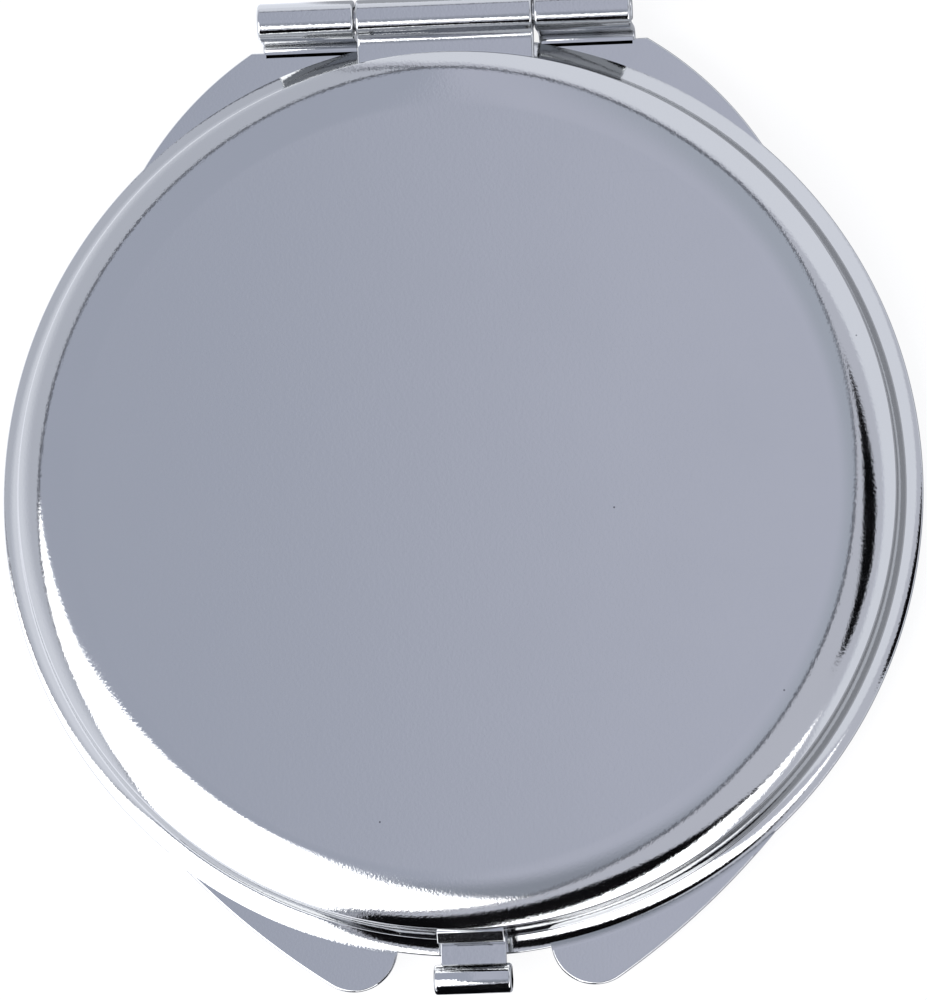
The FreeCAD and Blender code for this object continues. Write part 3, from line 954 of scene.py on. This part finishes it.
# Edges as elevation against azimuth in degrees: azimuth 0 is to the right, 90 behind and 270 in front
softbox_edge = [(166, 28), (174, 40), (190, 55), (196, 77), (200, 79), (222, 76), (248, 66), (276, 47)]
softbox_foot = [(166, 43), (174, 38), (190, 32), (200, 29), (212, 20), (219, 8), (243, 8), (246, 25)]
softbox_foot += [(250, 33), (260, 44), (276, 56)]
wall_edge = [(242, -14), (247, 18), (250, 30), (260, 42), (284, 60), (295, 65), (314, 70), (334, 71)]
wall_edge += [(372, 69), (386, 62), (410, 44), (427, 41), (440, 36), (458, 27), (466, 12), (470, -14)]
doorway_top = [(337, 33), (339, 48), (352, 53), (362, 59), (370, 60), (384, 58), (393, 52)]
doorway_bottom = [(337, 47), (340, 41), (353, 40), (363, 43), (374, 49), (393, 57)]
backdrop_edge = [(110, 29), (128, 33), (146, 35), (172, 36), (190, 30), (201, 28), (208, 22), (213, 14)]
backdrop_edge += [(218, -14), (450, -14), (458, 27), (470, 29)]
counter_edge = [(246, -10), (248, 15), (250, 27), (268, 40), (279, 46), (287, 47), (308, 42)]
counter_edge += [(320, 35), (330, 23)]
counter_foot = [(246, -14), (262, -14), (266, 9), (270, 22), (280, 26), (297, 34), (308, 37)]
counter_foot += [(328, 33), (334, 27)]
bounce_edge = [(110, 2), (140, 8), (170, 16), (190, 22), (205, 21), (215, 13), (222, -14)]
table_edge = [(300, -10), (328, 30), (358, 33), (388, 40), (399, 42), (412, 42), (428, 39), (441, 34)]
table_edge += [(457, 23), (464, 10), (470, -14)]
strip_foot = [(260, -14), (290, -14), (297, -5), (303, 18), (308, 25), (320, 29), (334, 36)]

world = bpy.data.worlds.new("light_tent")
bpy.context.scene.world = world
world.use_nodes = True
tent = world.node_tree
tent.nodes.clear()
tent_place = node(tent, "ShaderNodeTexCoord").outputs["Generated"]
tent_way = node(tent, "ShaderNodeSeparateXYZ", {"Vector": tent_place}).outputs
tent_turn = maths(tent, "ARCTAN2", tent_way["Y"], tent_way["X"])
tent_share = maths(tent, "MULTIPLY_ADD", tent_turn, 1 / (2 * math.pi), 1 - wrap_azimuth / 360)
tent_azimuth = maths(tent, "FRACT", tent_share)
tent_rise = maths(tent, "ARCSINE", tent_way["Z"])
tent_elevation = maths(tent, "MULTIPLY_ADD", tent_rise, 1 / math.pi, 0.5)


def edge_height(points):
    """How far a direction lies under an edge that is given as (azimuth, elevation) points, in degrees."""
    curve = node(tent, "ShaderNodeFloatCurve", {"Value": tent_azimuth})
    line = curve.mapping.curves[0]
    places = [((azimuth - wrap_azimuth) / 360, elevation / 180 + 0.5) for azimuth, elevation in points]
    line.points[0].location = places[0]
    line.points[1].location = places[-1]
    for place in places[1:-1]:
        line.points.new(*place)
    for point in line.points:
        point.handle_type = "VECTOR"
    curve.mapping.extend = "HORIZONTAL"
    curve.mapping.update()
    under = maths(tent, "SUBTRACT", curve.outputs["Value"], tent_elevation)
    return maths(tent, "MULTIPLY", under, 180)


def inside(height, softness, start=0.0):
    """Mask that rises from 0 to 1 over a soft edge."""
    return ramp(tent, height, start - softness, start + softness, kind="SMOOTHSTEP")


def between(top, foot, softness):
    """Mask of what lies under one edge and over another."""
    under_top = inside(edge_height(top), softness)
    over_foot = inside(maths(tent, "MULTIPLY", edge_height(foot), -1.0), softness)
    return maths(tent, "MULTIPLY", under_top, over_foot)


def layered(under, mask, colour):
    """Colour laid over what is there, where the mask says."""
    return blend(tent, mask, under, colour)


def walled(under, edge, colour):
    """Wall laid under an edge, with the dark line of its seam on top."""
    height = edge_height(edge)
    lined = layered(under, inside(height, seam_softness, -seam_height), seam_colour)
    return layered(lined, inside(height, wall_softness), colour)


ceiling = layered(ceiling_dim, ramp(tent, tent_way["X"], *light_span, kind="SMOOTHSTEP"), ceiling_light)
ceiling = layered(ceiling, ramp(tent, tent_way["X"], *far_span, kind="SMOOTHSTEP"), ceiling_far)
ceiling = layered(ceiling, ramp(tent, tent_way["Y"], *front_span, kind="SMOOTHSTEP"), ceiling_front)
tent_colour = walled(ceiling, backdrop_edge, backdrop_colour)
tent_colour = layered(tent_colour, inside(edge_height(bounce_edge), bounce_softness), table_colour)
tent_colour = walled(tent_colour, wall_edge, wall_colour)
tent_colour = layered(tent_colour, inside(edge_height(table_edge), table_softness, table_drop), table_colour)
tent_colour = layered(tent_colour, between(doorway_top, doorway_bottom, doorway_softness), dark_colour)
tent_colour = layered(tent_colour, between(counter_edge, counter_foot, counter_softness), dark_colour)
tent_colour = layered(tent_colour, between(counter_foot, strip_foot, counter_softness), softbox_colour)
tent_colour = layered(tent_colour, between(softbox_edge, softbox_foot, softbox_softness), softbox_colour)

tent_path = node(tent, "ShaderNodeLightPath").outputs
tent_light = node(tent, "ShaderNodeBackground", {"Color": tent_colour}).outputs[0]
tent_white = node(tent, "ShaderNodeBackground", {"Color": (1, 1, 1, 1)}).outputs[0]
tent_mix = node(tent, "ShaderNodeMixShader", {0: tent_path["Is Camera Ray"], 1: tent_light, 2: tent_white})
node(tent, "ShaderNodeOutputWorld", {"Surface": tent_mix.outputs[0]})

# Camera
# It looks almost straight down, a little from the right and from the latch side, with the hinge at the top.
photo_long_side = 1000
photo_middle = Vector((463.5, 500))
sensor_mm = 36
lid_foot_at = Vector((457.6, 490.7))
pixels_per_mm = 14.27
camera_distance = 800
tilt_right = math.radians(5.3)
tilt_front = math.radians(5.8)
camera_roll = math.radians(1.6)
back = Vector((math.tan(tilt_right), -math.tan(tilt_front), 1)).normalized()
right = Vector((0, 1, 0)).cross(back).normalized()
up = back.cross(right)
right, up = (
    right * math.cos(camera_roll) - up * math.sin(camera_roll),
    up * math.cos(camera_roll) + right * math.sin(camera_roll),
)
offset = (photo_middle - lid_foot_at) / pixels_per_mm
aim = Vector((0, 0, lid_flange_top)) + right * offset.x - up * offset.y
camera_data = bpy.data.cameras.new("camera")
camera_data.sensor_width = sensor_mm
camera_data.lens = pixels_per_mm * camera_distance / photo_long_side * sensor_mm
camera_data.clip_start = 0.01
camera = bpy.data.objects.new("camera", camera_data)
bpy.context.scene.collection.objects.link(camera)
turn = Matrix((right, up, back)).transposed().to_4x4()
camera.matrix_world = Matrix.Translation((aim + back * camera_distance) * mm) @ turn
bpy.context.scene.camera = camera
bpy.context.scene.view_settings.view_transform = "Standard"
